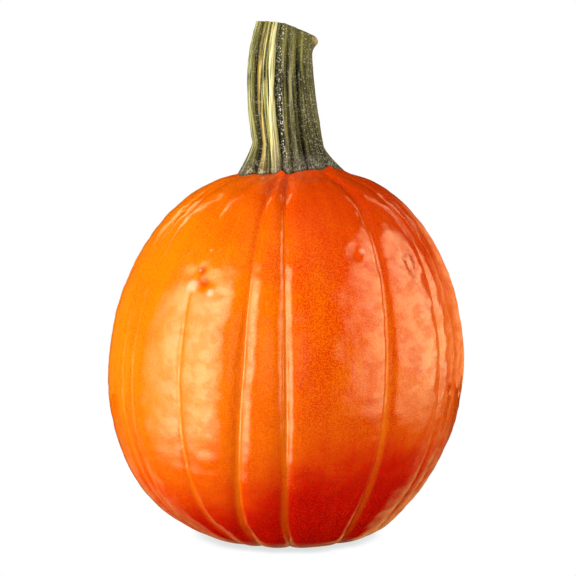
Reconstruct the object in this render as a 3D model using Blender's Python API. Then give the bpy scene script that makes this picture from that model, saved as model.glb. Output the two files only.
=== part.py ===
"""A ripe orange pumpkin with its cut stem, standing on its blossom end.

The fruit is a ribbed body: an egg-like turned shape, pressed in along seams that run from stem to blossom end.
The stem is a grooved handle that flares onto the fruit, bends a little and ends in a slanted cut.
Units are metres, +Z is up, and the origin is on the table under the middle of the pumpkin.
Angles round the pumpkin are in degrees, counted from the front (-Y) towards the right (+X).
"""

import math

import bmesh
import bpy

# Driving dimensions of the fruit
FRUIT_WIDTH = 0.2186
WIDEST_HEIGHT = 0.1020
RISE_TO_CROWN = 0.1326
DROP_TO_BLOSSOM_END = 0.1131
LOWER_FULLNESS = 0.87
CROWN_SINK = 0.0105
CROWN_SINK_RADIUS = 0.0440
LEAN = 0.034
FOOT_SHIFT = 0.0050
FOOT_SHIFT_HEIGHT = 0.0150

# Ribs and seams of the fruit
SEAM_DEPTH = 0.0036
CREASE_WIDTH = 0.0028
VALLEY_WIDTH = 0.0095
CREASE_SHARE = 0.66
RIB_CROWN = 0.0012
FULL_RIB = 20.0
SEAM_FADE_RADIUS = 0.034
LOWER_FADE_RADIUS = 0.090

# Foot: the soft flattening, the dimple round the blossom scar, and the level that becomes the flat
FOOT_SOFTNESS = 0.0091
FOOT_LEVEL = 0.0039
DIMPLE_HEIGHT = 0.0100
DIMPLE_RADIUS = 0.0150
SCAR_HEIGHT = 0.0025
SCAR_RADIUS = 0.0060

# Each seam: its angle at the widest part, its depth as a share, and in degrees its slant and its bow along its length
SEAMS = (
    (-98, 0.80, 2.0, -2.0),
    (-83, 0.30, -2.0, 1.0),
    (-62.9, 0.45, -6.0, -1.0),
    (-55.8, 0.30, -3.1, -0.5),
    (-34.6, 0.60, -3.5, -0.5),
    (-13.9, 0.90, 3.0, -6.9),
    (-0.1, 1.00, -4.1, -3.1),
    (19, 0.12, 0.0, 5.0),
    (33.3, 1.00, 2.5, 8.0),
    (56.5, 0.50, 1.7, 6.1),
    (66, 0.45, 3.0, 3.0),
    (78, 0.40, 2.0, 2.0),
    (91, 0.80, 2.0, 0.0),
    (107, 0.65, 0.0, 2.0),
    (124, 1.00, -3.0, 2.0),
    (140, 0.70, 0.0, -3.0),
    (158, 0.90, 3.0, 0.0),
    (175, 0.50, 0.0, 2.0),
    (192, 0.95, -3.0, 0.0),
    (210, 0.80, 0.0, -3.0),
    (228, 0.40, 3.0, 2.0),
    (246, 1.00, 0.0, 2.0),
)

# Driving dimensions of the stem
STEM_BASE_HEIGHT = 0.2138
STEM_HEIGHT = 0.0963
STEM_RADIUS = 0.0222
STEM_TAPER = 0.24
STEM_X = 0.0067
STEM_LEAN = 0.0120
STEM_BEND = 1.75
STEM_RETURN = 0.0042
STEM_BACKWARDS = 0.0060
FLARE_REACH = 0.0196
FLARE_HEIGHT = 0.0260
FLARE_BEND = 1.3
FLARE_LOBES = 0.45
FOOT_TWIST = -15
FRONT_TOES = 0.86
FRONT_TOES_ANGLE = 5
FRONT_TOES_SPREAD = 52
GROOVE_DEPTH = 0.0034
GROOVE_WIDTH = 0.0024
RIDGE_CROWN = 0.0012
CUT_SLOPE_X = -0.14
CUT_FALL_X = -0.22
CUT_SLOPE_Y = -0.10
CUT_DISH = 0.0020
BEAK_REACH = 0.0044
BEAK_ANGLE = 84
BEAK_SPREAD = 24
BEAK_HEIGHT = 0.0045
BEAK_DROP = 0.0022

# Each groove of the stem: its angle and its depth as a share
STEM_GROOVES = (
    (-88, 0.6),
    (-49, 1.0),
    (-27, 0.4),
    (-5, 1.0),
    (12, 0.6),
    (33, 1.0),
    (64, 0.5),
    (84, 0.5),
    (106, 0.9),
    (129, 0.6),
    (156, 1.0),
    (183, 0.6),
    (211, 1.0),
    (243, 0.7),
)

# Mesh fineness
FRUIT_ROWS = 34
RIB_STEPS = (0.0, 0.08, 0.24, 0.50, 0.76, 0.92)
STEM_ROWS = 20
ROW_CROWDING = 1.35
RIDGE_STEPS = (0.0, 0.12, 0.33, 0.67, 0.88)
TOUCHING_GAP = 0.0003

# The two finishes: linear RGB and roughness
RIND_COLOUR = (0.90, 0.13, 0.008, 1.0)
RIND_ROUGHNESS = 0.35
STEM_COLOUR = (0.11, 0.12, 0.04, 1.0)
STEM_ROUGHNESS = 0.8


def clear_scene():
    for old in list(bpy.data.objects):
        bpy.data.objects.remove(old)


def material(name, colour, roughness):
    made = bpy.data.materials.new(name)
    made.use_nodes = True
    shader = made.node_tree.nodes["Principled BSDF"]
    shader.inputs["Base Color"].default_value = colour
    shader.inputs["Roughness"].default_value = roughness
    shader.inputs["Metallic"].default_value = 0.0
    return made


def bell(distance, reach):
    """1 at no distance, falling smoothly to nothing past reach."""
    return math.exp(-((distance / reach) ** 2))


def smooth_step(value):
    held = min(max(value, 0.0), 1.0)
    return held * held * (3 - 2 * held)


def around(columns, steps):
    """(column, part) for each place round a ribbed body, where part runs from 0 at that seam to 1 at the next."""
    return [(column, part) for column in range(columns) for part in steps]


def seam_angle(index, latitude):
    """The angle of a seam at a latitude: -1 at the blossom end, 0 at the widest part, 1 at the crown."""
    turns, which = divmod(index, len(SEAMS))
    angle, _, slant, bow = SEAMS[which]
    return angle + slant * latitude + bow * latitude**2 + 360 * turns


def fruit_point(column, part, latitude, swell=0.0):
    """A point of the rind, moved outwards by swell."""
    before = seam_angle(column, latitude)
    rib = seam_angle(column + 1, latitude) - before
    angle = math.radians(before + part * rib)

    # The turned shape without ribs, and its outward direction
    half = FRUIT_WIDTH / 2
    upper = latitude > 0
    height = RISE_TO_CROWN if upper else DROP_TO_BLOSSOM_END
    tilt = latitude * math.pi / 2
    radius = half * abs(math.cos(tilt)) ** (1.0 if upper else LOWER_FULLNESS)
    level = WIDEST_HEIGHT + height * math.sin(tilt)
    out = (height * math.cos(tilt), half * math.sin(tilt))
    length = math.hypot(*out)

    # Seams press the rind in, and each rib swells between them
    gap = min(part, 1 - part) * math.radians(rib) * radius
    depth_here = SEAMS[column % len(SEAMS)][1]
    depth_next = SEAMS[(column + 1) % len(SEAMS)][1]
    depth = depth_here + (depth_next - depth_here) * smooth_step(part)
    crease = CREASE_SHARE * depth * math.exp(-gap / CREASE_WIDTH)
    valley = (1 - CREASE_SHARE) * bell(gap, VALLEY_WIDTH)
    fade = smooth_step(radius / (SEAM_FADE_RADIUS if upper else LOWER_FADE_RADIUS))
    fullness = min(1.0, rib / FULL_RIB) * 4 * part * (1 - part)
    crown = RIB_CROWN * (1 - depth + depth * fullness)
    shift = swell + fade * (crown - SEAM_DEPTH * depth * (crease + valley))
    radius += shift * out[0] / length
    level += shift * out[1] / length

    # The crown flattens under the stem; the foot flattens, rises into its dimple, and stands on the table
    if upper:
        level -= CROWN_SINK * bell(radius, CROWN_SINK_RADIUS)
    else:
        lifted = level + FOOT_LEVEL
        level = (lifted + math.hypot(lifted, FOOT_SOFTNESS)) / 2 - FOOT_LEVEL
        level += DIMPLE_HEIGHT * bell(radius, DIMPLE_RADIUS)
        level -= SCAR_HEIGHT * bell(radius, SCAR_RADIUS)
        level = max(level, -swell)

    middle = LEAN * (level - WIDEST_HEIGHT) + FOOT_SHIFT * bell(level, FOOT_SHIFT_HEIGHT)
    return (middle + radius * math.sin(angle), -radius * math.cos(angle), level)


def ribbed_mesh(name, rings, lower_tip, upper_tip):
    """A closed mesh from rings of points, lowest first, with a fan to a point at each end."""
    shape = bmesh.new()
    loops = [[shape.verts.new(point) for point in ring] for ring in rings]
    count = len(loops[0])
    for lower, upper in zip(loops, loops[1:]):
        for i in range(count):
            j = (i + 1) % count
            shape.faces.new((lower[i], lower[j], upper[j], upper[i]))
    bottom = shape.verts.new(lower_tip)
    top = shape.verts.new(upper_tip)
    for i in range(count):
        j = (i + 1) % count
        shape.faces.new((loops[0][j], loops[0][i], bottom))
        shape.faces.new((loops[-1][i], loops[-1][j], top))
    bmesh.ops.recalc_face_normals(shape, faces=shape.faces)
    bmesh.ops.triangulate(shape, faces=shape.faces)
    mesh = bpy.data.meshes.new(name)
    shape.to_mesh(mesh)
    shape.free()
    mesh.shade_smooth()
    return mesh


def fruit_mesh(name, swell=0.0):
    places = around(len(SEAMS), RIB_STEPS)
    latitudes = [2 * row / FRUIT_ROWS - 1 for row in range(1, FRUIT_ROWS)]
    rings = [
        [fruit_point(column, part, latitude, swell) for column, part in places]
        for latitude in latitudes
    ]
    ends = [fruit_point(0, 0.0, latitude, swell) for latitude in (-1, 1)]
    return ribbed_mesh(name, rings, *ends)


def off_angle(angle, middle):
    """How far an angle is from another, the short way round, in degrees."""
    return (angle - middle + 180) % 360 - 180


def stem_axis(share):
    """The middle of the stem at a share of its height: it leans left, then turns back to the right under the cut."""
    x = STEM_X - STEM_LEAN * math.sin(STEM_BEND * share) + STEM_RETURN * share**3
    y = STEM_BACKWARDS * share**2
    return x, y


def stem_point(column, part, share):
    """A point of the stem's outside, from share 0, sunk in the fruit, to 1 at the cut."""
    count = len(STEM_GROOVES)
    first = STEM_GROOVES[column % count]
    after = STEM_GROOVES[(column + 1) % count]
    ridge = (after[0] - first[0]) % 360
    plain_angle = first[0] + part * ridge
    angle = math.radians(plain_angle + FOOT_TWIST * (1 - share) ** 2)
    middle_x, middle_y = stem_axis(share)
    height = share * STEM_HEIGHT

    gap = min(part, 1 - part) * math.radians(ridge) * STEM_RADIUS
    depth = first[1] + (after[1] - first[1]) * smooth_step(part)
    groove = GROOVE_DEPTH * depth * math.exp(-gap / GROOVE_WIDTH)
    crown = RIDGE_CROWN * 4 * part * (1 - part)
    flare = FLARE_REACH * max(0.0, 1 - height / FLARE_HEIGHT) ** FLARE_BEND
    flare *= 1 - FLARE_LOBES * abs(2 * part - 1) ** 3
    flare *= 1 - FRONT_TOES * bell(off_angle(plain_angle, FRONT_TOES_ANGLE), FRONT_TOES_SPREAD)
    radius = STEM_RADIUS * (1 - STEM_TAPER * share**3) + crown - groove + flare

    # The side that grew out to the vine ends in a short beak at the cut
    beak = bell(off_angle(plain_angle, BEAK_ANGLE), BEAK_SPREAD)
    below_cut = (1 - share) * STEM_HEIGHT
    radius += BEAK_REACH * beak * bell(below_cut - BEAK_DROP, BEAK_HEIGHT)

    x = middle_x + radius * math.sin(angle)
    y = middle_y - radius * math.cos(angle)
    across = x - middle_x
    slant = CUT_SLOPE_X * across + CUT_FALL_X * max(across, 0.0) + CUT_SLOPE_Y * (y - middle_y)
    z = STEM_BASE_HEIGHT + share * (STEM_HEIGHT + slant)
    return (x, y, z)


def stem_mesh(name):
    places = around(len(STEM_GROOVES), RIDGE_STEPS)
    shares = [(row / STEM_ROWS) ** ROW_CROWDING for row in range(STEM_ROWS + 1)]
    rings = [
        [stem_point(column, part, share) for column, part in places]
        for share in shares
    ]
    low_x, low_y = stem_axis(0)
    top_x, top_y = stem_axis(1)
    lower_tip = (low_x, low_y, STEM_BASE_HEIGHT)
    upper_tip = (top_x, top_y, STEM_BASE_HEIGHT + STEM_HEIGHT - CUT_DISH)
    return ribbed_mesh(name, rings, lower_tip, upper_tip)


def place(name, mesh, finish=None):
    made = bpy.data.objects.new(name, mesh)
    bpy.context.scene.collection.objects.link(made)
    if finish:
        mesh.materials.append(finish)
    return made


def main():
    clear_scene()
    place("fruit", fruit_mesh("fruit"), material("rind", RIND_COLOUR, RIND_ROUGHNESS))
    stem = place("stem", stem_mesh("stem"), material("woody_stem", STEM_COLOUR, STEM_ROUGHNESS))

    # The stem's underside is cut to the fruit's crown, a hair clear of it
    crown = place("crown_cutter", fruit_mesh("crown_cutter", TOUCHING_GAP))
    crown.hide_render = True
    crown.display_type = "WIRE"
    seat = stem.modifiers.new("seat on the fruit", "BOOLEAN")
    seat.operation = "DIFFERENCE"
    seat.solver = "EXACT"
    seat.object = crown


main()
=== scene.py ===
# %% [markdown]
# # A ripe pumpkin in the studio
# This lesson dresses a plain pumpkin model until it looks like a photograph of the real fruit. The plain
# model has two nodes, the fruit and its cut stem, and its shapes come from short formulas. The same
# formulas are drawn here as Geometry Nodes with many more points, so the form stays and the skin gains
# what is too fine for the plain model: soft swells, healed pits, mottled colour and a waxy gloss.

import math

import bpy
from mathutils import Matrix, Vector


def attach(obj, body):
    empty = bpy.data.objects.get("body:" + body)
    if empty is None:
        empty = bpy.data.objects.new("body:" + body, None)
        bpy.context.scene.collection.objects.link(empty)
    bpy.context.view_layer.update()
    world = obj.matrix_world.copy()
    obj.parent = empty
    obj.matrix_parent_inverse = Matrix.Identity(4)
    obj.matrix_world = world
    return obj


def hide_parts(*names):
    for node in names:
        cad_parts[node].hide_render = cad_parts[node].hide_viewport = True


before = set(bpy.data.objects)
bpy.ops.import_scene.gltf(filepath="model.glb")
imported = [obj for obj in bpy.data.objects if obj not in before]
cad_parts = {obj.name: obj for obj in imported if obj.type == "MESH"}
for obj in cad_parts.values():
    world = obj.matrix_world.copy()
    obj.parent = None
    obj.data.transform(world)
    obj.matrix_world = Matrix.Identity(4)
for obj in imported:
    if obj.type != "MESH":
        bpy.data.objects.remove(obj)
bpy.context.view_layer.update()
print("plain nodes:", sorted(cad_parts))

# %% [markdown]
# ## Sums as node trees
# Geometry Nodes and shaders are both webs of small nodes. A long formula drawn by hand in such a web is
# hard to read, so one small class lets Python write the sums: adding two values makes an Add node, and
# every other node comes from one method.

# %% A value that flows through a node tree
class Flow:
    """A socket's value. Sums on it add Math nodes, or Vector Math nodes where a vector takes part."""

    def __init__(self, tree, socket=None):
        self.tree = tree
        self.socket = socket

    def node(self, kind, settings=None, values=None, output=None):
        """Adds a node of any kind: its settings first, then its sockets' values or links."""
        made = self.tree.nodes.new(kind)
        for name, setting in (settings or {}).items():
            setattr(made, name, setting)
        for name, value in (values or {}).items():
            self.feed(next(s for s in made.inputs if s.name == name and s.enabled), value)
        named = [s for s in made.outputs if s.enabled and output in (None, s.name)]
        return Flow(self.tree, named[0])

    def feed(self, socket, value):
        """Links a value to a socket, or sets the socket where the value is plain."""
        if isinstance(value, Flow):
            self.tree.links.new(value.socket, socket)
        else:
            socket.default_value = value

    def sibling(self, name):
        """Another output of the node that this value comes from."""
        return Flow(self.tree, next(s for s in self.socket.node.outputs if s.name == name and s.enabled))

    def maths(self, operation, *others):
        """Adds the node for one operation on this value and others."""
        terms = (self, *others)
        vector = any(isinstance(t, Flow) and t.socket.type in ("VECTOR", "RGBA") for t in terms)
        made = self.tree.nodes.new("ShaderNodeVectorMath" if vector else "ShaderNodeMath")
        made.operation = operation
        for socket, term in zip(made.inputs, terms):
            plain = vector and isinstance(term, (int, float))
            self.feed(socket, (term,) * 3 if plain else term)
        single = operation in ("LENGTH", "DISTANCE", "DOT_PRODUCT")
        return Flow(self.tree, made.outputs["Value" if single or not vector else "Vector"])

    def __add__(self, other):
        return self.maths("ADD", other)

    def __sub__(self, other):
        return self.maths("SUBTRACT", other)

    def __mul__(self, other):
        return self.maths("MULTIPLY", other)

    def __truediv__(self, other):
        return self.maths("DIVIDE", other)

    def __pow__(self, other):
        return self.maths("POWER", other)

    def __neg__(self):
        return self.maths("MULTIPLY", -1.0)

    def __gt__(self, other):
        return self.maths("GREATER_THAN", other)

    __radd__ = __add__
    __rmul__ = __mul__

    def __rsub__(self, other):
        return -self + other

    def __rtruediv__(self, other):
        return self ** -1.0 * other


# %% Sums that several pieces need
DEGREE = math.pi / 180
MERGE_DISTANCE = 0.00001


def bell(distance, reach):
    """1 in the middle, falling softly to 0 past the reach."""
    share = distance / reach
    return (-(share * share)).maths("EXPONENT")


def smooth_step(value, start=0.0, end=1.0):
    """0 before the start, 1 after the end, and an S curve between."""
    settings = {"interpolation_type": "SMOOTHSTEP"}
    return value.node("ShaderNodeMapRange", settings, {"Value": value, "From Min": start, "From Max": end})


def split(vector):
    """The x, y and z of a vector."""
    x = vector.node("ShaderNodeSeparateXYZ", values={"Vector": vector})
    return x, x.sibling("Y"), x.sibling("Z")


def vector_of(flow, x, y, z):
    """A vector from three values."""
    return flow.node("ShaderNodeCombineXYZ", values={"X": x, "Y": y, "Z": z})


def noise(where, scale, detail=1.0, roughness=0.5):
    """Soft random values between 0 and 1 that are always the same at the same place."""
    values = {"Vector": where, "Scale": scale, "Detail": detail, "Roughness": roughness}
    return where.node("ShaderNodeTexNoise", values=values)


def mix(factor, first, second):
    """A colour between two colours."""
    return factor.node("ShaderNodeMix", {"data_type": "RGBA"}, {"Factor": factor, "A": first, "B": second})


# %% Trees with named sizes
def new_tree(name, sizes, wants_object=False):
    """An empty Geometry Nodes tree with a named input for each size, and the values that flow from them."""
    tree = bpy.data.node_groups.new(name, "GeometryNodeTree")
    tree.interface.new_socket("Geometry", in_out="INPUT", socket_type="NodeSocketGeometry")
    for label, size in sizes.items():
        tree.interface.new_socket(label, in_out="INPUT", socket_type="NodeSocketFloat").default_value = size
    if wants_object:
        tree.interface.new_socket("Rests on", in_out="INPUT", socket_type="NodeSocketObject")
    tree.interface.new_socket("Geometry", in_out="OUTPUT", socket_type="NodeSocketGeometry")
    entry = Flow(tree).node("NodeGroupInput")
    return tree, {socket.name: Flow(tree, socket) for socket in entry.socket.node.outputs if socket.name}


def point_table(name, rows):
    """A tiny mesh that hands rows to a tree: angle, slant and bow as a point's place, and its depth."""
    mesh = bpy.data.meshes.new(name)
    mesh.from_pydata([(angle, slant, bow) for angle, depth, slant, bow in rows], [], [])
    mesh.attributes.new("depth", "FLOAT", "POINT").data.foreach_set("value", [row[1] for row in rows])
    return mesh


def grow(name, table, tree, sizes, rests_on=None):
    """Runs the tree on the table and keeps what it made as a plain mesh."""
    piece = bpy.data.objects.new(name, table)
    bpy.context.scene.collection.objects.link(piece)
    modifier = piece.modifiers.new(name, "NODES")
    modifier.node_group = tree
    for item in tree.interface.items_tree:
        if item.in_out == "INPUT" and item.name in sizes:
            modifier[item.identifier] = sizes[item.name]
        if item.in_out == "INPUT" and item.name == "Rests on":
            modifier[item.identifier] = rests_on
    graph = bpy.context.evaluated_depsgraph_get()
    mesh = bpy.data.meshes.new_from_object(
        piece.evaluated_get(graph), preserve_all_data_layers=True, depsgraph=graph)
    piece.modifiers.clear()
    piece.data = mesh
    mesh.name = name
    mesh.calc_loop_triangles()
    low, high = (tuple(round(f(v.co[i] for v in mesh.vertices), 4) for i in range(3)) for f in (min, max))
    print(f"{name}: {len(mesh.loop_triangles)} triangles, from {low} to {high}")
    return piece


def end_tree(geometry, material):
    """The tree's last nodes: real faces, with their material."""
    geometry = geometry.node("GeometryNodeRealizeInstances", values={"Geometry": geometry})
    geometry = geometry.node("GeometryNodeSetMaterial", values={"Geometry": geometry, "Material": material})
    last = geometry.tree.nodes.new("NodeGroupOutput")
    geometry.tree.links.new(geometry.socket, last.inputs["Geometry"])


def stored(flow, name, kind="FLOAT"):
    """A value that the points already keep."""
    return flow.node("GeometryNodeInputNamedAttribute", {"data_type": kind}, {"Name": name}, "Attribute")


def store(geometry, name, value, kind="FLOAT"):
    """The geometry, whose points now keep a value under a name."""
    settings = {"data_type": kind, "domain": "POINT"}
    return geometry.node("GeometryNodeStoreNamedAttribute", settings,
                         {"Geometry": geometry, "Name": name, "Value": value})


def row_of(table, index, value, kind="FLOAT"):
    """A value from one row of a point table."""
    values = {"Geometry": table, "Value": value, "Index": index}
    return table.node("GeometryNodeSampleIndex", {"data_type": kind, "domain": "POINT"}, values)


# %% [markdown]
# ## The fruit
# A pumpkin grows as a hollow ball whose skin is drawn in along seams between its ribs. It stands on its
# blossom end, which is pressed a little flat, with a dimple in the middle. A profile turned round an
# axis gives the ball, and each seam pulls the skin inwards by its own depth. The seams are uneven on a
# real fruit, so a table lists them, and the tree reads the two rows on either side of each point.

# %% The seams: angle at the widest part, depth as a share, slant and bow along the length, in degrees
SEAMS = (
    (-98, 0.80, 2.0, -2.0),
    (-83, 0.30, -2.0, 1.0),
    (-62.9, 0.55, -6.0, -1.0),
    (-55.8, 0.40, -3.1, -0.5),
    (-34.6, 0.60, -3.5, -0.5),
    (-13.9, 0.90, 3.0, -6.9),
    (-0.1, 1.00, -4.1, -3.1),
    (19, 0.06, 0.0, 5.0),
    (33.3, 1.00, 2.5, 8.0),
    (56.5, 0.40, 1.7, 6.1),
    (66, 0.35, 3.0, 3.0),
    (78, 0.30, 2.0, 2.0),
    (91, 0.80, 2.0, 0.0),
    (107, 0.65, 0.0, 2.0),
    (124, 1.00, -3.0, 2.0),
    (140, 0.70, 0.0, -3.0),
    (158, 0.90, 3.0, 0.0),
    (175, 0.50, 0.0, 2.0),
    (192, 0.95, -3.0, 0.0),
    (210, 0.80, 0.0, -3.0),
    (228, 0.40, 3.0, 2.0),
    (246, 1.00, 0.0, 2.0),
)
first_seam = SEAMS[0]
seam_table = point_table("seam_table", (*SEAMS, (first_seam[0] + 360, *first_seam[1:])))
print("ribs:", len(SEAMS))

# %% The sizes of the fruit, in metres
FRUIT_SIZES = {
    "Width": 0.2186,
    "Widest height": 0.1020,
    "Rise to crown": 0.1326,
    "Drop to blossom end": 0.1131,
    "Lower fullness": 0.87,
    "Crown sink": 0.0105,
    "Crown sink radius": 0.0440,
    "Lean": 0.034,
    "Foot shift": 0.0050,
    "Foot shift height": 0.0150,
    "Seam depth": 0.0034,
    "Crease width": 0.0021,
    "Valley width": 0.0054,
    "Crease share": 0.76,
    "Shoulder ease": 0.45,
    "Rib crown": 0.0007,
    "Full rib": 20.0,
    "Seam fade radius": 0.046,
    "Bare crown share": 0.38,
    "Lower fade radius": 0.090,
    "Foot softness": 0.0091,
    "Foot level": 0.0039,
    "Dimple height": 0.0100,
    "Dimple radius": 0.0150,
    "Scar height": 0.0025,
    "Scar radius": 0.0060,
    "Skin swell": 0.0015,
    "Skin ripple": 0.0013,
    "Collar rise": 0.0027,
    "Collar radius": 0.0240,
    "Collar width": 0.0072,
}

# %% The grid of the skin, with more columns near the seams
COLUMNS_A_RIB = 24
SKIN_ROWS = 185
CROWDING = 0.1
skin_columns = len(SEAMS) * COLUMNS_A_RIB
fruit_tree, size = new_tree("ribbed_skin", FRUIT_SIZES)
grid = size["Width"].node("GeometryNodeMeshGrid", values={
    "Size X": 1.0, "Size Y": 2.0, "Vertices X": skin_columns + 1, "Vertices Y": SKIN_ROWS + 1})
across, latitude, _ = split(grid.node("GeometryNodeInputPosition"))
turn = (across + 0.5) * len(SEAMS)
rib = turn.maths("FLOOR").maths("MINIMUM", len(SEAMS) - 1)
part = turn - rib
part = part - (part * math.tau).maths("SINE") * CROWDING

# %% Which way a point of the skin faces, from the two seams beside it
course = grid.node("GeometryNodeInputPosition")
seam_depth = stored(grid, "depth")
table = size["Geometry"]


def seam_angle(row):
    """A seam's angle at this latitude: -1 at the blossom end, 0 at the widest part and 1 at the crown."""
    angle, slant, bow = split(row_of(table, row, course, "FLOAT_VECTOR"))
    return angle + slant * latitude + bow * latitude * latitude


before = seam_angle(rib)
rib_angle = seam_angle(rib + 1) - before
angle = (before + part * rib_angle) * DEGREE
depth_before = row_of(table, rib, seam_depth)
depth = depth_before + (row_of(table, rib + 1, seam_depth) - depth_before) * smooth_step(part)

# %% The profile of the fruit
upper = latitude > 0.0
tilt = latitude * (math.pi / 2)
drop = size["Drop to blossom end"]
level_height = drop + (size["Rise to crown"] - drop) * upper
fullness = size["Lower fullness"] + (1.0 - size["Lower fullness"]) * upper
half = size["Width"] / 2
radius = half * tilt.maths("COSINE").maths("MAXIMUM", 0.0) ** fullness
level = size["Widest height"] + level_height * tilt.maths("SINE")
out_radius = level_height * tilt.maths("COSINE")
out_level = half * tilt.maths("SINE")
out_length = (out_radius * out_radius + out_level * out_level).maths("SQRT")

# %% The seams and the rounded ribs between them
nearest = part.maths("MINIMUM", 1.0 - part)
gap = nearest * rib_angle * DEGREE * radius
crease = (-(gap / size["Crease width"])).maths("EXPONENT")
valley = bell(gap, size["Valley width"])
lower_fade = size["Lower fade radius"]
fade_radius = lower_fade + (size["Seam fade radius"] - lower_fade) * upper
fade = smooth_step(radius / fade_radius, upper * size["Bare crown share"])
drawn_in = depth * (crease * depth * size["Crease share"] + valley * (1.0 - size["Crease share"]))
shoulder = smooth_step(latitude, 0.05, 0.40) * (1.0 - smooth_step(latitude, 0.55, 0.75))
eased = size["Seam depth"] * (1.0 - size["Shoulder ease"] * shoulder)
roundness = (rib_angle / size["Full rib"]).maths("MINIMUM", 1.0) * 4 * part * (1.0 - part)
shift = fade * (size["Rib crown"] * (1.0 - depth + depth * roundness) - eased * drawn_in)
radius = radius + shift * out_radius / out_length
level = level + shift * out_level / out_length

# %% The sunken crown, the foot and the blossom scar
crown_level = level - size["Crown sink"] * bell(radius, size["Crown sink radius"])
lifted = level + size["Foot level"]
softened = (lifted * lifted + size["Foot softness"] * size["Foot softness"]).maths("SQRT")
foot_level = (lifted + softened) / 2 - size["Foot level"]
foot_level = foot_level + size["Dimple height"] * bell(radius, size["Dimple radius"])
foot_level = (foot_level - size["Scar height"] * bell(radius, size["Scar radius"])).maths("MAXIMUM", 0.0)
level = foot_level + (crown_level - foot_level) * upper
middle = size["Lean"] * (level - size["Widest height"])
middle = middle + size["Foot shift"] * bell(level, size["Foot shift height"])
skin_x = middle + radius * angle.maths("SINE")
skin_y = -(radius * angle.maths("COSINE"))
skin_place = vector_of(grid, skin_x, skin_y, level)

# %% The skin is placed, closed at its last column and at both ends, and keeps where its seams are
SEAM_LINE_WIDTH = 0.0013
GRAIN_ROUND = 0.1
GRAIN_ALONG = 0.022
yellow = bell(gap, SEAM_LINE_WIDTH) * fade * depth * (1.0 - smooth_step(latitude, -0.25, 0.45))
skin = store(grid, "seam", yellow)
grain_x = angle.maths("SINE") * GRAIN_ROUND
grain_y = angle.maths("COSINE") * GRAIN_ROUND
along_rib = vector_of(grid, grain_x, grain_y, latitude * GRAIN_ALONG)
skin = store(skin, "along_rib", along_rib, "FLOAT_VECTOR")
skin = skin.node("GeometryNodeSetPosition", values={"Geometry": skin, "Position": skin_place})
skin = skin.node("GeometryNodeMergeByDistance", values={"Geometry": skin, "Distance": MERGE_DISTANCE})

# %% [markdown]
# ## Swells, pits and a healed scar
# A grown skin is never quite even. Slow swells and a finer ripple press the surface inwards along its own
# normal, so the fruit keeps its outer size. Pits, warts and a scar on the shoulders are where the young
# fruit was bruised, and round the foot of the stem the skin rises in a low collar and two small tongues.
# The rind's shader asks the same functions where the marks are, so colour and shape stay together.

# %% Marks where the young fruit was bruised: middle, reach and depth or height, in metres
PITS = (
    ((-0.0482, -0.0775, 0.1714), 0.0034, 0.0015),
    ((-0.0468, -0.0830, 0.1650), 0.0042, 0.0020),
    ((0.0400, -0.0788, 0.1826), 0.0034, 0.0016),
    ((0.0404, -0.0790, 0.1790), 0.0026, 0.0008),
)
WARTS = (
    ((-0.0530, -0.0788, 0.1620), 0.0042, 0.0010),
    ((-0.0434, -0.0882, 0.1594), 0.0028, 0.0007),
    ((-0.0492, -0.0765, 0.1710), 0.0014, 0.0004),
    ((-0.0430, -0.0740, 0.1822), 0.0012, 0.0003),
    ((0.0354, -0.0812, 0.1850), 0.0026, 0.0004),
    ((0.0442, -0.0768, 0.1822), 0.0023, 0.0004),
)
SCAR = (0.0729, -0.0589, 0.1748)
SCAR_RADIUS = 0.0044
SCAR_EDGE_WIDTH = 0.0016
SCAR_EDGE_DEPTH = 0.0008
SCAR_HEART_REACH = 0.0030
SCAR_HEART_RISE = 0.0005
SCAR_STRETCH = (1.0, 1.0, 0.50)
MARK_WOBBLE = 0.0015
SCAR_WOBBLE = 0.0060

# %% How strongly a place is marked
def marks(table, where):
    """How strongly a place is marked, from 0 to 1, and how far its skin is moved, in metres."""
    strength, moved = 0.0, 0.0
    for centre, reach, far in table:
        mark = bell((where - centre).maths("LENGTH"), reach)
        strength, moved = mark + strength, mark * far + moved
    return strength, moved


def blemishes(where):
    """How strong the pits, the warts and the scar are at a place, and how far they raise its skin."""
    wobbly = where + (noise(where, 300.0, 1.0) - 0.5) * MARK_WOBBLE
    pit, pit_depth = marks(PITS, wobbly)
    wart, wart_height = marks(WARTS, wobbly)
    ragged = wobbly + (noise(where, 150.0, 2.0) - 0.5) * SCAR_WOBBLE
    from_scar = (ragged - SCAR) * SCAR_STRETCH
    edge = bell(from_scar.maths("LENGTH") - SCAR_RADIUS, SCAR_EDGE_WIDTH)
    heart = bell(from_scar.maths("LENGTH"), SCAR_HEART_REACH)
    rise = wart_height - pit_depth - edge * SCAR_EDGE_DEPTH + heart * SCAR_HEART_RISE
    return {"pit": pit, "wart": wart, "from scar": from_scar, "edge": edge, "heart": heart, "rise": rise}


# %% Where the skin rises between the toes of the stem: middle, reach and rise, in metres
SKIN_TONGUES = (((-0.0026, -0.0226), 0.0022, 0.0030), ((0.0262, -0.0140), 0.0024, 0.0020))
STEM_MIDDLE = 0.0067
FRONT_RIGHT = (0.80, -0.60)
CROWN_FROM = 0.2

# %% The skin pressed along its normal: noise less one is below zero, so it only moves inwards
place = skin.node("GeometryNodeInputPosition")
place_z = split(place)[2]
foot_fade = smooth_step(place_z, 0.002, 0.016)
swell = (noise(place, 26.0) - 1.0) * size["Skin swell"]
ripple = (noise(place * (0.8, 0.8, 1.5), 85.0, 2.0) - 1.0) * size["Skin ripple"]
press = (swell + ripple) * foot_fade

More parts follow.
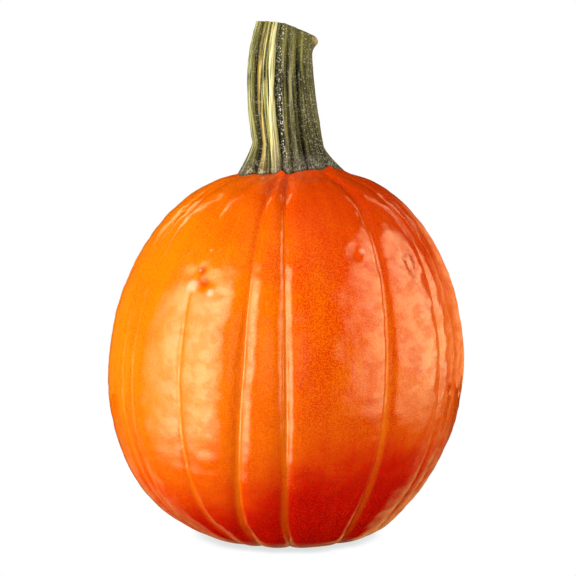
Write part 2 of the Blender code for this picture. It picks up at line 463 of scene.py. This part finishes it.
# %% The collar and the tongues of skin round the foot of the stem
sideways, backwards, _ = split(place - (STEM_MIDDLE, 0.0, 0.0))
from_stem = (sideways * sideways + backwards * backwards).maths("SQRT")
facing = (sideways * FRONT_RIGHT[0] + backwards * FRONT_RIGHT[1]) / from_stem
ring = bell(from_stem - size["Collar radius"], size["Collar width"])
raised = size["Collar rise"] * smooth_step(facing, 0.25, 0.95) * ring
for (tongue_x, tongue_y), tongue_reach, tongue_rise in SKIN_TONGUES:
    off_x = split(place)[0] - tongue_x
    off_y = split(place)[1] - tongue_y
    tongue = bell((off_x * off_x + off_y * off_y).maths("SQRT"), tongue_reach)
    raised = raised + tongue * tongue_rise
press = press + raised * (place_z > CROWN_FROM)
normal = skin.node("GeometryNodeInputNormal", output="Normal")
skin = skin.node("GeometryNodeSetPosition", values={"Geometry": skin, "Offset": normal * press})
rise = blemishes(skin.node("GeometryNodeInputPosition"))["rise"]
skin = skin.node("GeometryNodeSetPosition", values={"Geometry": skin, "Offset": normal * rise})
skin = skin.node("GeometryNodeSetShadeSmooth", values={"Geometry": skin})

# %% [markdown]
# ## The finish of the rind
# The rind is waxy and orange, mottled with red at the size of its pores. It is yellower down in the seams.
# Painted light makes it yellower on the left, where the left soft box shines, and painted shade makes it
# redder on the right shoulder and towards the bottom, and crimson low down. A pale tan band at the foot
# is a painted reflection of the floor, and the warts carry painted highlights. All of it is worked out
# from places on the piece, so the pattern stays on the skin from every side.

# %% The rind's colours
ORANGE = (0.87, 0.160, 0.0012, 1.0)
# The colour of the painted light on the left
PAINTED_LIGHT_ORANGE = (0.87, 0.205, 0.0012, 1.0)
VERMILION = (0.70, 0.030, 0.0012, 1.0)
# Crimson and maroon are painted shade low down
SHADE_CRIMSON = (0.70, 0.002, 0.0006, 1.0)
SHADE_MAROON = (0.46, 0.0008, 0.0004, 1.0)
PEACH_CORK_AND_HIGHLIGHT = (0.95, 0.56, 0.32, 1.0)
SCAR_RED = (0.62, 0.045, 0.0030, 1.0)
PIT_RED = (0.78, 0.070, 0.0015, 1.0)
SEAM_YELLOW = (0.93, 0.225, 0.0040, 1.0)
FLOOR_REFLECTION_TAN = (0.68, 0.30, 0.16, 1.0)

# %% Helpers for a finish
def new_finish(name):
    """A material, its Principled shader and a value to begin its sums from."""
    material = bpy.data.materials.new(name)
    material.use_nodes = True
    shader = material.node_tree.nodes["Principled BSDF"]
    return material, shader, Flow(material.node_tree)


def attribute(flow, name, output="Fac"):
    """A value that the points of the mesh keep under a name."""
    return flow.node("ShaderNodeAttribute", {"attribute_name": name}, output=output)


def bump(height, distance):
    """A normal tilted as if the surface were raised by the height times the distance."""
    return height.node("ShaderNodeBump", values={"Height": height, "Distance": distance, "Strength": 1.0})


# %% Red and orange, mottled by pores, patches and clouds
PAINTED_SHADE_SHOULDER = (0.160, 0.225)
PAINTED_SHADE_BELOW = 0.12
PAINTED_LIGHT_LEFT = (0.008, 0.085)
PORE_SCALE = 1300.0
rind, rind_shader, flow = new_finish("rind")
spot = flow.node("ShaderNodeTexCoord", output="Object")
x, y, z = split(spot)
pores = noise(spot, PORE_SCALE, 0.0)
streaks = noise(attribute(flow, "along_rib", "Vector"), 95.0, 3.0, 0.6)
patches = noise(spot, 60.0, 3.0)
clouds = noise(spot, 22.0, 2.0)
broad_tone = smooth_step(patches * 0.25 + clouds * 0.35 + streaks * 0.40, 0.36, 0.64)
tone = smooth_step(pores, 0.42, 0.58) * 0.60 + broad_tone * 0.40
# Painted shade: redder on the right shoulder, where less light falls
tone = tone * (1.0 - smooth_step(z + x * 0.45, *PAINTED_SHADE_SHOULDER) * 0.62)
# Painted shade: redder towards the bottom, where less light falls
tone = tone * (1.0 - smooth_step(PAINTED_SHADE_BELOW - z, 0.0, 0.07) * 0.32)
skin_colour = mix(tone, VERMILION, ORANGE)
# Painted light: yellower on the left, where the left soft box shines
painted_light_left = smooth_step(-x - y * 0.2 + clouds * 0.03, *PAINTED_LIGHT_LEFT) * smooth_step(z, 0.02, 0.10)
skin_colour = mix(painted_light_left * (0.45 + tone * 0.5), skin_colour, PAINTED_LIGHT_ORANGE)

# %% Painted shade low down: crimson, with a ragged edge that is highest at the front right
LOWEST_EDGE = 0.011
EDGE_RAGGED = 0.042
EDGE_RISE = 0.030
front_right = smooth_step(x - y * 0.5, 0.01, 0.07)
edge = LOWEST_EDGE + noise(spot, 38.0, 4.0, 0.7) * EDGE_RAGGED + front_right * EDGE_RISE
# The share of painted shade low down
low = 1.0 - smooth_step(z - edge - (pores - 0.5) * 0.06, -0.012, 0.014)
painted_shade_red = mix(smooth_step(pores, 0.42, 0.58), SHADE_MAROON, SHADE_CRIMSON)
skin_colour = mix(low * (0.98 - smooth_step(pores, 0.46, 0.62) * 0.08), skin_colour, painted_shade_red)

# %% Yellow seams, and a pale tan band at the foot that is a painted reflection of the floor
seam_line = attribute(flow, "seam")
skin_colour = mix(seam_line * (0.72 - low * 0.40), skin_colour, SEAM_YELLOW)
# Painted reflection of the floor: a pale tan band at the foot
painted_floor_reflection = (1.0 - smooth_step(z + (pores - 0.5) * 0.004, 0.0020, 0.0085)) * (0.45 + patches * 0.6)
skin_colour = mix(painted_floor_reflection, skin_colour, FLOOR_REFLECTION_TAN)

# %% The marks' colours: red pits, warts painted pale as highlights on their bumps, and a scar that is reddest on its left
found = blemishes(spot)
off_scar_x, _, off_scar_z = split(found["from scar"])
scar_left = smooth_step(-off_scar_x, -0.0010, 0.0022) * smooth_step(-off_scar_z, -0.0022, 0.0008)
scar_line = found["edge"] * (0.28 + scar_left * 0.72)
skin_colour = mix(smooth_step(found["pit"], 0.20, 0.75) * 0.95, skin_colour, PIT_RED)
skin_colour = mix(found["heart"] * 0.30, skin_colour, PEACH_CORK_AND_HIGHLIGHT)
skin_colour = mix(scar_line, skin_colour, SCAR_RED)
# Painted highlights: each wart is painted pale peach, as if lit on its bump
skin_colour = mix(smooth_step(found["wart"], 0.12, 0.85) * 0.62, skin_colour, PEACH_CORK_AND_HIGHLIGHT)

# %% Relief that is finer than the mesh: sharper marks, pores, crackle and dents
CRACKLE_HEIGHT = 0.00034
DENT_HEIGHT = 0.00044
PORE_HEIGHT = 0.00002
crackle = noise(spot, 260.0, 2.0)
dents = noise(spot * (1.0, 1.0, 1.4), 105.0, 3.0, 0.6)
relief = found["rise"] * 0.6 + pores * PORE_HEIGHT + crackle * CRACKLE_HEIGHT + dents * DENT_HEIGHT

# %% The rind's shader: a waxy coat that has worn thin in patches
bloom = smooth_step(noise(spot * (1.0, 1.0, 1.5) + (0.3, 0.0, 0.0), 90.0, 4.0, 0.65), 0.38, 0.60)
worn = smooth_step(pores, 0.40, 0.62) * 0.16
waxy = 1.0 - (found["pit"] + found["wart"] * 0.6 + scar_line).maths("MINIMUM", 1.0)
flow.feed(rind_shader.inputs["Base Color"], skin_colour)
flow.feed(rind_shader.inputs["Roughness"], 0.46 - bloom * 0.06)
flow.feed(rind_shader.inputs["Coat Weight"], (0.53 + bloom * 0.46 - worn) * waxy)
flow.feed(rind_shader.inputs["Normal"], bump(relief, 1.0))
rind_shader.inputs["Coat Roughness"].default_value = 0.115
rind_shader.inputs["Coat IOR"].default_value = 1.55
rind_shader.inputs["Specular IOR Level"].default_value = 0.0

# %% The fruit is grown
end_tree(skin, rind)
ribbed_fruit = grow("ribbed_fruit", seam_table, fruit_tree, FRUIT_SIZES)
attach(ribbed_fruit, "root")
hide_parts("fruit")

# %% [markdown]
# ## The cut stem
# The stem is the woody handle that the fruit hung from. It has deep grooves between hard ridges, spreads
# into toes that grip the crown, bends a little and ends in a slanted knife cut with a small beak. It is
# a tube grown row by row up a bent axis, like the fruit with a table of its grooves. Each point below the
# crown is lifted to just under the skin with a ray cast, so that the toes follow the ribs.

# %% The grooves of the stem: angle and depth as a share
STEM_GROOVES = (
    (-88, 0.6), (-49, 1.0), (-27, 0.4), (-5, 1.0), (12, 0.6), (33, 1.0), (64, 0.5), (84, 0.5), (106, 0.9),
    (129, 0.6), (156, 1.0), (183, 0.6), (211, 1.0), (243, 0.7),
)
groove_rows = [(angle, depth, 0.0, 0.0) for angle, depth in STEM_GROOVES]
first_angle, first_depth = STEM_GROOVES[0]
groove_table = point_table("groove_table", groove_rows + [(first_angle + 360, first_depth, 0.0, 0.0)])
print("ridges of the stem:", len(STEM_GROOVES))

# %% The sizes of the stem, in metres and degrees
STEM_SIZES = {
    "Base height": 0.2138,
    "Height": 0.0963,
    "Radius": 0.0222,
    "Taper": 0.24,
    "Middle": STEM_MIDDLE,
    "Lean": 0.0120,
    "Bend": 1.75,
    "Return": 0.0042,
    "Backwards": 0.0060,
    "Flare reach": 0.0196,
    "Foot twist": -15.0,
    "Front toes": 0.86,
    "Front toes angle": 18.0,
    "Front toes spread": 58.0,
    "Flare height": 0.0260,
    "Flare bend": 1.3,
    "Flare lobes": 0.45,
    "Groove depth": 0.0024,
    "Groove width": 0.0016,
    "Ridge crown": 0.0006,
    "Cut slope": -0.14,
    "Cut fall": -0.22,
    "Cut slope back": -0.10,
    "Cut dish": 0.0020,
    "Beak reach": 0.0044,
    "Beak angle": 84.0,
    "Beak spread": 24.0,
    "Beak height": 0.0045,
    "Beak drop": 0.0022,
    "Fibre depth": 0.0016,
    "Strand depth": 0.0022,
    "Sunk in skin": 0.0006,
}

# %% The grid of the stem: a floor hidden in the crown, the wall, and the face of the cut
COLUMNS_A_RIDGE = 24
STEM_ROWS = 200
BASE_ROWS = 3
CUT_ROWS = 24
stem_columns = len(STEM_GROOVES) * COLUMNS_A_RIDGE
stem_tree, size = new_tree("cut_stem", STEM_SIZES, wants_object=True)
grid = size["Radius"].node("GeometryNodeMeshGrid", values={
    "Size X": 1.0, "Size Y": 1.0, "Vertices X": stem_columns + 1, "Vertices Y": STEM_ROWS + 1})
across, upwards, _ = split(grid.node("GeometryNodeInputPosition"))
turn = (across + 0.5) * len(STEM_GROOVES)
ridge = turn.maths("FLOOR").maths("MINIMUM", len(STEM_GROOVES) - 1)
part = turn - ridge
row = (upwards + 0.5) * STEM_ROWS
wall_rows = STEM_ROWS - BASE_ROWS - CUT_ROWS
share = ((row - BASE_ROWS) / wall_rows).maths("MAXIMUM", 0.0).maths("MINIMUM", 1.0)
inwards = ((row - (STEM_ROWS - CUT_ROWS)) / CUT_ROWS).maths("MAXIMUM", 0.0)
ring = (row / BASE_ROWS).maths("MINIMUM", 1.0) * (1.0 - inwards)

# %% Which ridge a point is on
table = size["Geometry"]
groove_angle = split(grid.node("GeometryNodeInputPosition"))[0]
groove_depth = stored(grid, "depth")
before = row_of(table, ridge, groove_angle)
ridge_angle = row_of(table, ridge + 1, groove_angle) - before
plain_angle = before + part * ridge_angle
depth_before = row_of(table, ridge, groove_depth)
depth = depth_before + (row_of(table, ridge + 1, groove_depth) - depth_before) * smooth_step(part)
height = share * size["Height"]
gap = part.maths("MINIMUM", 1.0 - part) * ridge_angle * DEGREE * size["Radius"]


def around(angle, spread):
    """1 at an angle of the stem, in degrees, falling softly to 0 past the spread."""
    return bell(plain_angle - angle, spread)


# %% The fibres, which run up the stem
FIBRE_ROUND = 0.02
FIBRE_ALONG = 0.09
WANDER = 5.0
TWISTED_TOES = (10.0, 50.0)
radians = plain_angle * DEGREE
grain_x = radians.maths("SINE") * FIBRE_ROUND
grain_y = radians.maths("COSINE") * FIBRE_ROUND
grain = vector_of(grid, grain_x, grain_y, height * FIBRE_ALONG)
fibres = noise(grain, 700.0, 2.0, 0.6)
strands = noise(grain + (0.3, 0.1, 0.2), 230.0, 1.0)
wander = (noise(grain * 1.4 + (0.5, 0.9, 0.1), 120.0) - 0.5) * WANDER
twist = size["Foot twist"] * (1.0 - share) * (1.0 - share) * around(*TWISTED_TOES)
angle = (plain_angle + wander + twist) * DEGREE

# %% The wall of the stem: taper, ridges, grooves, toes and beak
flare = (1.0 - height / size["Flare height"]).maths("MAXIMUM", 0.0) ** size["Flare bend"]
off_middle = (part * 2 - 1.0).maths("ABSOLUTE")
flare = size["Flare reach"] * flare * (1.0 - size["Flare lobes"] * off_middle * off_middle * off_middle)
off_front = (plain_angle - size["Front toes angle"]).maths("WRAP", 180.0, -180.0)
off_front = off_front / size["Front toes spread"]
flare = flare * (1.0 - size["Front toes"] * bell(off_front * off_front, 1.0))
groove = size["Groove depth"] * depth * (-(gap / size["Groove width"])).maths("EXPONENT")
crown = size["Ridge crown"] * 4 * part * (1.0 - part)
taper = 1.0 - size["Taper"] * share * share * share
below_cut = (1.0 - share) * size["Height"]
beak = around(size["Beak angle"], size["Beak spread"])
beak = beak * bell(below_cut - size["Beak drop"], size["Beak height"])
radius = size["Radius"] * taper + crown - groove + flare + size["Beak reach"] * beak
radius = radius + (fibres - 0.8) * size["Fibre depth"] + (strands - 0.6) * size["Strand depth"]

# %% The bent axis and the slanted cut
PITH_DEPTH = 0.0012
RIM_DROP = 0.0003
axis_x = size["Middle"] - size["Lean"] * (size["Bend"] * share).maths("SINE")
axis_x = axis_x + size["Return"] * share * share * share
axis_y = size["Backwards"] * share * share
sideways = radius * ring * angle.maths("SINE")
backwards = -(radius * ring * angle.maths("COSINE"))
slant = size["Cut slope"] * sideways + size["Cut fall"] * sideways.maths("MAXIMUM", 0.0)
slant = slant + size["Cut slope back"] * backwards
pith = noise(vector_of(grid, sideways, backwards, 0.0), 420.0, 3.0, 0.7)
dish = smooth_step(inwards, 0.0, 0.5) * (size["Cut dish"] + pith * PITH_DEPTH)
dish = dish + smooth_step(inwards) * RIM_DROP
stem_z = size["Base height"] + share * (size["Height"] + slant) - dish

# %% The crown under each point, found with a ray cast straight down
ABOVE_EVERYTHING = 0.4
crown_skin = grid.node("GeometryNodeObjectInfo", values={"Object": size["Rests on"]}, output="Geometry")
ray = {"Target Geometry": crown_skin, "Ray Length": 1.0, "Ray Direction": (0.0, 0.0, -1.0),
       "Source Position": vector_of(grid, axis_x + sideways, axis_y + backwards, ABOVE_EVERYTHING)}
crown_z = split(grid.node("GeometryNodeRaycast", values=ray, output="Hit Position"))[2]
wall = row > BASE_ROWS + 0.5
lifted = stem_z.maths("MAXIMUM", crown_z - size["Sunk in skin"])
stem_z = stem_z + (lifted - stem_z) * wall
above_crown = stem_z - crown_z

# %% [markdown]
# ## The stripes of the stem
# Every ridge has dried to a colour of its own: straw, ochre or sage in the light, olive and almost black
# down in the grooves. A colour ramp goes once round the stem and is kept on the points, so the stripes
# follow the ridges up the bend. The shader then adds fine streaks along the grain, painted shade with dark
# strokes on the right side, painted shade in the grooves and where the toes meet the skin, pale specks and
# dust, and a corky crust on the toes.

# %% The stripes round the stem: angle and finish
CREAM = (0.76, 0.70, 0.42, 1.0)
STRAW = (0.57, 0.51, 0.22, 1.0)
SAGE = (0.27, 0.27, 0.115, 1.0)
MOSS = (0.36, 0.345, 0.165, 1.0)
ASH = (0.20, 0.18, 0.090, 1.0)
OCHRE = (0.48, 0.34, 0.085, 1.0)
KHAKI = (0.28, 0.25, 0.060, 1.0)
OLIVE = (0.120, 0.105, 0.018, 1.0)
BOTTLE_GREEN = (0.030, 0.028, 0.006, 1.0)
RUST = (0.13, 0.075, 0.008, 1.0)
STRIPES = (
    (-88, OLIVE), (-78, SAGE), (-70, MOSS), (-63, SAGE), (-57, OLIVE), (-52, BOTTLE_GREEN),
    (-45, BOTTLE_GREEN), (-41, RUST), (-37, OCHRE), (-31, STRAW), (-27, KHAKI), (-22, STRAW),
    (-16, CREAM), (-10, STRAW), (-6, OLIVE), (-4, BOTTLE_GREEN), (0, BOTTLE_GREEN), (3, ASH),
    (9, OLIVE), (13, BOTTLE_GREEN), (19, ASH), (26, OLIVE), (35, BOTTLE_GREEN), (42, KHAKI),
    (47, BOTTLE_GREEN), (58, OLIVE), (70, ASH), (84, OLIVE), (106, BOTTLE_GREEN), (140, SAGE),
    (205, OLIVE), (272, OLIVE),
)
print("stripes of the stem:", len(STRIPES))
ramp = grid.node("ShaderNodeValToRGB", values={"Fac": (plain_angle - STRIPES[0][0]) / 360})
stops = ramp.socket.node.color_ramp.elements
for turn_on, (stripe_angle, finish) in enumerate(STRIPES):
    stop = stops[turn_on] if turn_on < 2 else stops.new(1.0)
    stop.position = (stripe_angle - STRIPES[0][0]) / 360
    stop.color = finish

# %% The stem keeps what its finish needs: angle and spread of its speckled and corky parts, and of its groove of painted shade
SPECKLED_GROOVE = (-1.5, 4.6)
SPECKLED_SIDE = (62.0, 14.0)
CORKY_LEFT = (-42.0, 34.0)
CORKY_BACK = (190.0, 60.0)
PAINTED_SHADE_GROOVE = (-46.0, 9.0)
past_front = smooth_step(plain_angle, 8.0, 40.0)
kept = {
    "groove": depth * (-(gap / size["Groove width"])).maths("EXPONENT"),
    "along": share,
    "cut_face": smooth_step(inwards, 0.0, 0.08),
    "beak": beak,
    "speckled": around(*SPECKLED_GROOVE) + around(*SPECKLED_SIDE) * 0.25,
    "corky": around(*CORKY_LEFT) + around(*CORKY_BACK),
    "toe": 1.0 - smooth_step(above_crown, 0.0010, 0.0120),
    "dark_side": past_front * (1.0 - smooth_step(plain_angle, 100.0, 160.0)),
    "dark_groove": around(*PAINTED_SHADE_GROOVE),
    "joint": 1.0 - smooth_step(above_crown, 0.0001, 0.0016),
}
stem = store(grid, "stripe", ramp, "FLOAT_COLOR")
stem = store(stem, "grain", grain, "FLOAT_VECTOR")
for name, value in kept.items():
    stem = store(stem, name, value)

# %% The stem is placed and closed
place = vector_of(grid, axis_x + sideways, axis_y + backwards, stem_z)
stem = stem.node("GeometryNodeSetPosition", values={"Geometry": stem, "Position": place})
stem = stem.node("GeometryNodeMergeByDistance", values={"Geometry": stem, "Distance": MERGE_DISTANCE})
stem = stem.node("GeometryNodeSetShadeSmooth", values={"Geometry": stem})

# %% The bark: stripes with streaks along the grain
CORK = (0.55, 0.47, 0.30, 1.0)
PAINTED_SHADE_BROWN = (0.045, 0.022, 0.004, 1.0)
PITH = (0.42, 0.33, 0.17, 1.0)
NUB = (0.52, 0.36, 0.16, 1.0)
DUST = (0.80, 0.78, 0.68, 1.0)
DARKER = (0.08, 0.08, 0.03, 1.0)
PALER = (1.78, 1.78, 1.50, 1.0)
woody_stem, stem_shader, flow = new_finish("woody_stem")
spot = flow.node("ShaderNodeTexCoord", output="Object")
stripe = attribute(flow, "stripe", "Color")
grain = attribute(flow, "grain", "Vector")
streaks = smooth_step(noise(grain * (1.0, 1.0, 0.5), 900.0, 1.0, 0.6), 0.43, 0.57)
broad = smooth_step(noise(grain * (1.0, 1.0, 0.7) + (0.7, 0.2, 0.4), 330.0, 2.0, 0.7), 0.42, 0.58)
bark = stripe * mix(streaks * 0.70 + broad * 0.30, DARKER, PALER)

# %% Darker low down and round the cut, with painted shade on the right side and in the grooves
along = attribute(flow, "along")
bark = bark * (0.58 + smooth_step(along, 0.05, 0.50) * 0.38)
low_down = 1.0 - smooth_step(along, 0.20, 0.60)
dark_side = attribute(flow, "dark_side")
strokes = smooth_step(noise(grain * (1.0, 1.0, 0.8) + (0.2, 0.6, 0.1), 430.0, 2.0, 0.6), 0.49, 0.57)
# Painted shade on the right side, away from the left soft box, with dark strokes in it
bark = bark * (1.0 - dark_side * (0.10 + low_down * 0.20 + strokes * 0.55))
# Painted shade deep in the dark groove on the left, low down
bark = mix(attribute(flow, "dark_groove") * low_down * 0.85, bark, BOTTLE_GREEN)
# Painted shade: each groove darkened by its depth
bark = bark * (1.0 - attribute(flow, "groove") * 0.50)
patches = noise(spot, 130.0, 3.0, 0.6)
near_cut = smooth_step(along + patches * 0.2, 0.84, 1.04)
bark = mix(near_cut * 0.80 * (1.0 - streaks * 0.55), bark, OLIVE)

# %% Pale specks and dust
grit = noise(spot, 1100.0, 0.0)
speckles = smooth_step(grit, 0.64, 0.69) * attribute(flow, "speckled").maths("MINIMUM", 1.0)
bark = mix(speckles * 0.95, bark, DUST)
dust = smooth_step(grit * 0.7 + patches * 0.3, 0.57, 0.66) * (0.17 + dark_side * 0.04)
bark = mix(dust, bark, DUST)

# %% The toes, dark or crusted with cork, painted shade where they meet the skin, the beak and the cut
toe = attribute(flow, "toe")
corky = attribute(flow, "corky").maths("MINIMUM", 1.0)
flakes = noise(spot * (1.0, 1.0, 0.6), 420.0, 2.0, 0.6)
bark = mix(toe * (1.0 - corky * 0.5) * 0.90, bark, BOTTLE_GREEN)
crust = smooth_step(noise(spot * (1.0, 1.0, 0.7), 900.0, 1.0, 0.7), 0.46, 0.58)
bark = mix(toe * corky * smooth_step(flakes, 0.44, 0.56) * (0.12 + crust * 0.68), bark, CORK)
bark = mix(toe * (1.0 - corky) * crust * 0.26, bark, DUST)
# Painted shade: a dark line where the toes meet the skin
bark = mix(attribute(flow, "joint") * 0.85, bark, PAINTED_SHADE_BROWN)
bark = mix(smooth_step(attribute(flow, "beak"), 0.45, 0.85) * (0.35 + patches), bark, NUB)
bark = mix(attribute(flow, "cut_face"), bark, PITH)
flow.feed(stem_shader.inputs["Base Color"], bark)
flow.feed(stem_shader.inputs["Roughness"], 0.62 + grit * 0.25)
stem_shader.inputs["Specular IOR Level"].default_value = 0.25
STREAK_HEIGHT = 0.00035
flow.feed(stem_shader.inputs["Normal"], bump(streaks * 1.4 + grit * 0.5, STREAK_HEIGHT))

# %% The stem is grown
end_tree(stem, woody_stem)
cut_stem = grow("cut_stem", groove_table, stem_tree, STEM_SIZES, ribbed_fruit)
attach(cut_stem, "root")
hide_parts("stem")

# %% [markdown]
# ## The camera
# The camera stands a little higher than the fruit's shoulders and looks slightly down, as in the
# photograph. A long lens from more than a metre away keeps the front ribs from bulging towards it.

# %% The camera, at the photograph's viewing angle
camera = bpy.data.objects.new("camera", bpy.data.cameras.new("camera"))
bpy.context.scene.collection.objects.link(camera)
camera.location = (0.0014, -1.25, 0.2961)
aim = Vector((0.0014, 0.0, 0.1516))
camera.rotation_euler = (aim - camera.location).to_track_quat("-Z", "Y").to_euler()
camera.data.lens = 129.05
camera.data.sensor_width = 36.0
bpy.context.scene.camera = camera
print("camera distance in metres:", round((aim - camera.location).length, 3))

# %% [markdown]
# ## Light and floor
# The fruit is lit by a large soft box on each side, with fill light from in front, above and behind.
# Area lights give the skin its light. Glowing cards that only reflections see give the soft shapes of its
# gloss: a big one on each side, and smaller or dimmer ones low down, behind the shoulders and behind the
# rim. The floor is pale and fades into a white background, with a faint painted shadow where the fruit
# stands.

# %% Soft boxes
LAMP_AIM = Vector((0, 0, 0.12))


def soft_light(name, azimuth, elevation, distance, side, watts):
    """A square lamp that looks at the fruit. Azimuth 0 is in front, and 90 on the right."""
    lamp = bpy.data.lights.new(name, "AREA")
    lamp.shape = "SQUARE"
    lamp.size = side
    lamp.energy = watts
    holder = bpy.data.objects.new(name, lamp)
    bpy.context.scene.collection.objects.link(holder)
    turn, rise = math.radians(azimuth), math.radians(elevation)
    away = Vector((math.sin(turn) * math.cos(rise), -math.cos(turn) * math.cos(rise), math.sin(rise)))
    holder.location = LAMP_AIM + away * distance
    holder.rotation_euler = (-away).to_track_quat("-Z", "Y").to_euler()
    holder.visible_glossy = False


LAMPS = (
    ("left_box", -68, 18, 1.3, 1.0, 21.0),
    ("right_box", 78, 18, 1.3, 1.0, 11.0),
    ("front_fill", -8, 6, 1.6, 1.0, 15.2),
    ("top_fill", 0, 68, 1.4, 1.2, 5.0),
    ("back_fill", 180, 25, 1.6, 1.0, 5.0),
)
for lamp_sizes in LAMPS:
    soft_light(*lamp_sizes)
print("lamps:", len(LAMPS))

# %% A card that only shows in the gloss
RIGHT_SOFTNESS = 0.27
ENDS_SOFTNESS = 0.28


def gloss_card(name, azimuth, distance, wide, bottom, top, glow, tint, left_softness=0.52, left_drop=0.0):
    """An upright card with soft edges. Azimuth 0 is in front, and 90 on the right.

    To someone who looks past the card at the fruit, its left edge fades over the share left_softness of
    its width, and the top of that edge is left_drop lower.
    """
    turn = math.radians(azimuth)
    away = Vector((math.sin(turn), -math.cos(turn), 0.0)) * distance
    side = Vector((math.cos(turn), math.sin(turn), 0.0)) * wide / 2
    corners = [away - side + Vector((0, 0, bottom)), away + side + Vector((0, 0, bottom)),
               away + side + Vector((0, 0, top)), away - side + Vector((0, 0, top - left_drop))]
    mesh = bpy.data.meshes.new(name)
    mesh.from_pydata(corners, [], [(0, 1, 2, 3)])
    mesh.uv_layers.new(name="UVMap")
    for loop, place in zip(mesh.uv_layers[0].data, ((0, 0), (1, 0), (1, 1), (0, 1))):
        loop.uv = place
    material = bpy.data.materials.new(name)
    material.use_nodes = True
    tree = material.node_tree
    tree.nodes.clear()
    flow = Flow(tree)
    u, v, _ = split(flow.node("ShaderNodeTexCoord", output="UV"))
    sides = smooth_step(u, 0.0, left_softness) * smooth_step(1.0 - u, 0.0, RIGHT_SOFTNESS)
    edge = sides * smooth_step(v.maths("MINIMUM", 1.0 - v), 0.0, ENDS_SOFTNESS)
    light = flow.node("ShaderNodeEmission", values={"Color": tint, "Strength": edge * glow})
    end = tree.nodes.new("ShaderNodeOutputMaterial")
    tree.links.new(light.socket, end.inputs["Surface"])
    mesh.materials.append(material)
    card = bpy.data.objects.new(name, mesh)
    bpy.context.scene.collection.objects.link(card)
    card.visible_camera = False
    card.visible_diffuse = False
    card.visible_shadow = False
    card.visible_transmission = False


# %% The cards: azimuth, distance, width, bottom, top, glow, tint, and the left edge's softness and drop
LEFT_TINT = (1.0, 0.90, 0.53, 1.0)
RIGHT_TINT = (1.0, 0.90, 0.45, 1.0)
LOW_TINT = (1.0, 0.56, 0.16, 1.0)
SHOULDER_TINT = (1.0, 0.62, 0.32, 1.0)
RIM_TINT = (1.0, 0.40, 0.13, 1.0)
LEFT_RIM_TINT = (1.0, 0.42, 0.04, 1.0)
CARDS = (
    ("left_card", -70, 1.6, 2.6, -1.52, 2.30, 9.4, LEFT_TINT, 0.80, 1.20),
    ("right_card", 80, 1.6, 3.6, -0.80, 2.30, 5.2, RIGHT_TINT, 0.38),
    ("low_left_card", -150, 1.8, 2.8, -2.1, -0.25, 1.05, LOW_TINT),
    ("low_right_card", 150, 1.8, 2.8, -2.1, -0.25, 1.10, LOW_TINT),
    ("back_left_card", -140, 1.8, 0.42, 0.6, 2.5, 4.5, SHOULDER_TINT),
    ("back_right_card", 140, 1.8, 0.42, 0.6, 2.5, 2.5, SHOULDER_TINT),
    ("rim_card", 180, 1.9, 0.9, -1.6, 1.0, 0.7, RIM_TINT),
    ("left_rim_card", -140, 1.9, 2.8, -1.6, 0.9, 0.90, LEFT_RIM_TINT),
    ("right_rim_card", 138, 1.9, 2.6, -1.6, 0.9, 1.80, RIM_TINT),
)
for card_sizes in CARDS:
    gloss_card(*card_sizes)
print("gloss cards:", len(CARDS))

# %% The floor, pale to the camera with a painted shadow round the fruit, and grey to the light
FLOOR_REACH = 4.0
PAINTED_SHADOW_REACH = 0.0075
PAINTED_SHADOW_GREY = (0.70, 0.71, 0.71, 1.0)
WHITE = (1.0, 1.0, 1.0, 1.0)
FLOOR_GREY = (0.52, 0.52, 0.52, 1.0)
floor_corners = [(FLOOR_REACH * x, FLOOR_REACH * y, 0.0) for x, y in ((-1, -1), (1, -1), (1, 1), (-1, 1))]
floor_mesh = bpy.data.meshes.new("floor")
floor_mesh.from_pydata(floor_corners, [], [(0, 1, 2, 3)])
floor = bpy.data.objects.new("floor", floor_mesh)
bpy.context.scene.collection.objects.link(floor)
floor.visible_glossy = False
floor_finish = bpy.data.materials.new("floor")
floor_finish.use_nodes = True
tree = floor_finish.node_tree
tree.nodes.clear()
flow = Flow(tree)
seen = flow.node("ShaderNodeLightPath", output="Is Camera Ray")
# Painted shadow: the floor turns grey where ambient occlusion finds the fruit close by
painted_shadow_ao = flow.node("ShaderNodeAmbientOcclusion", {"samples": 8}, {"Distance": PAINTED_SHADOW_REACH}, output="AO")
floor_with_painted_shadow = mix(smooth_step(painted_shadow_ao, 0.0, 0.55), PAINTED_SHADOW_GREY, WHITE)
glow = flow.node("ShaderNodeEmission", values={"Color": floor_with_painted_shadow, "Strength": 1.0})
dim = flow.node("ShaderNodeBsdfDiffuse", values={"Color": FLOOR_GREY})
both = flow.node("ShaderNodeMixShader", values={"Fac": seen}, output="Shader")
tree.links.new(dim.socket, both.socket.node.inputs[1])
tree.links.new(glow.socket, both.socket.node.inputs[2])
end = tree.nodes.new("ShaderNodeOutputMaterial")
tree.links.new(both.socket, end.inputs["Surface"])
floor_mesh.materials.append(floor_finish)

# %% White surroundings, which only the camera sees
world = bpy.data.worlds.new("studio")
bpy.context.scene.world = world
world.use_nodes = True
tree = world.node_tree
tree.nodes.clear()
flow = Flow(tree)
seen = flow.node("ShaderNodeLightPath", output="Is Camera Ray")
air = flow.node("ShaderNodeBackground", values={"Color": WHITE, "Strength": seen})
end = tree.nodes.new("ShaderNodeOutputWorld")
tree.links.new(air.socket, end.inputs["Surface"])
bpy.context.scene.view_settings.view_transform = "Standard"
